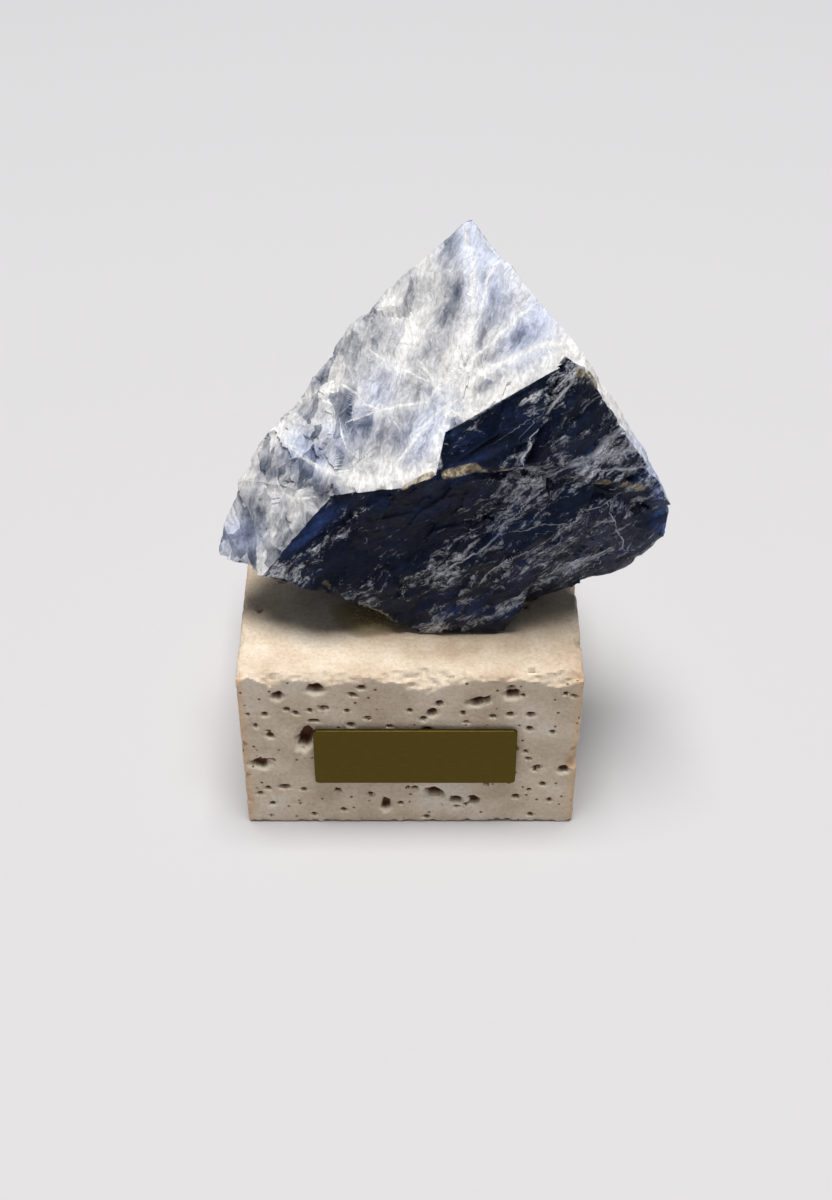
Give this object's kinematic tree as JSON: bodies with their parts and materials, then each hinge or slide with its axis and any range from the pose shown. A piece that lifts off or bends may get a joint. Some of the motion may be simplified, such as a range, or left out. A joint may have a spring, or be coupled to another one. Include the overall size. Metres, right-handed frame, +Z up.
{
  "type": "mineral specimen",
  "caption": "Rough blue and white mineral specimen glued on a small pitted stone display block with a bare label plate on its front.",
  "frame": {"origin": "middle of the block's underside", "axes": "+Z up, -Y towards the side that bears the label plate, +X to the right as seen from that side"},
  "size_m": [0.0508, 0.0407, 0.0694],
  "materials": {
    "sodalite": "glassy dark blue breaks and a frosted pale slope",
    "travertine": "sawn, matte, with open pores",
    "gilt_plate": "dark satin gilt",
    "clear_glue": "clear, slightly yellow"
  },
  "bodies": {
    "root": {"sodalite": "sodalite", "travertine_block": "travertine", "label_plate": "gilt_plate", "adhesive": "clear_glue"}
  },
  "joints": []
}
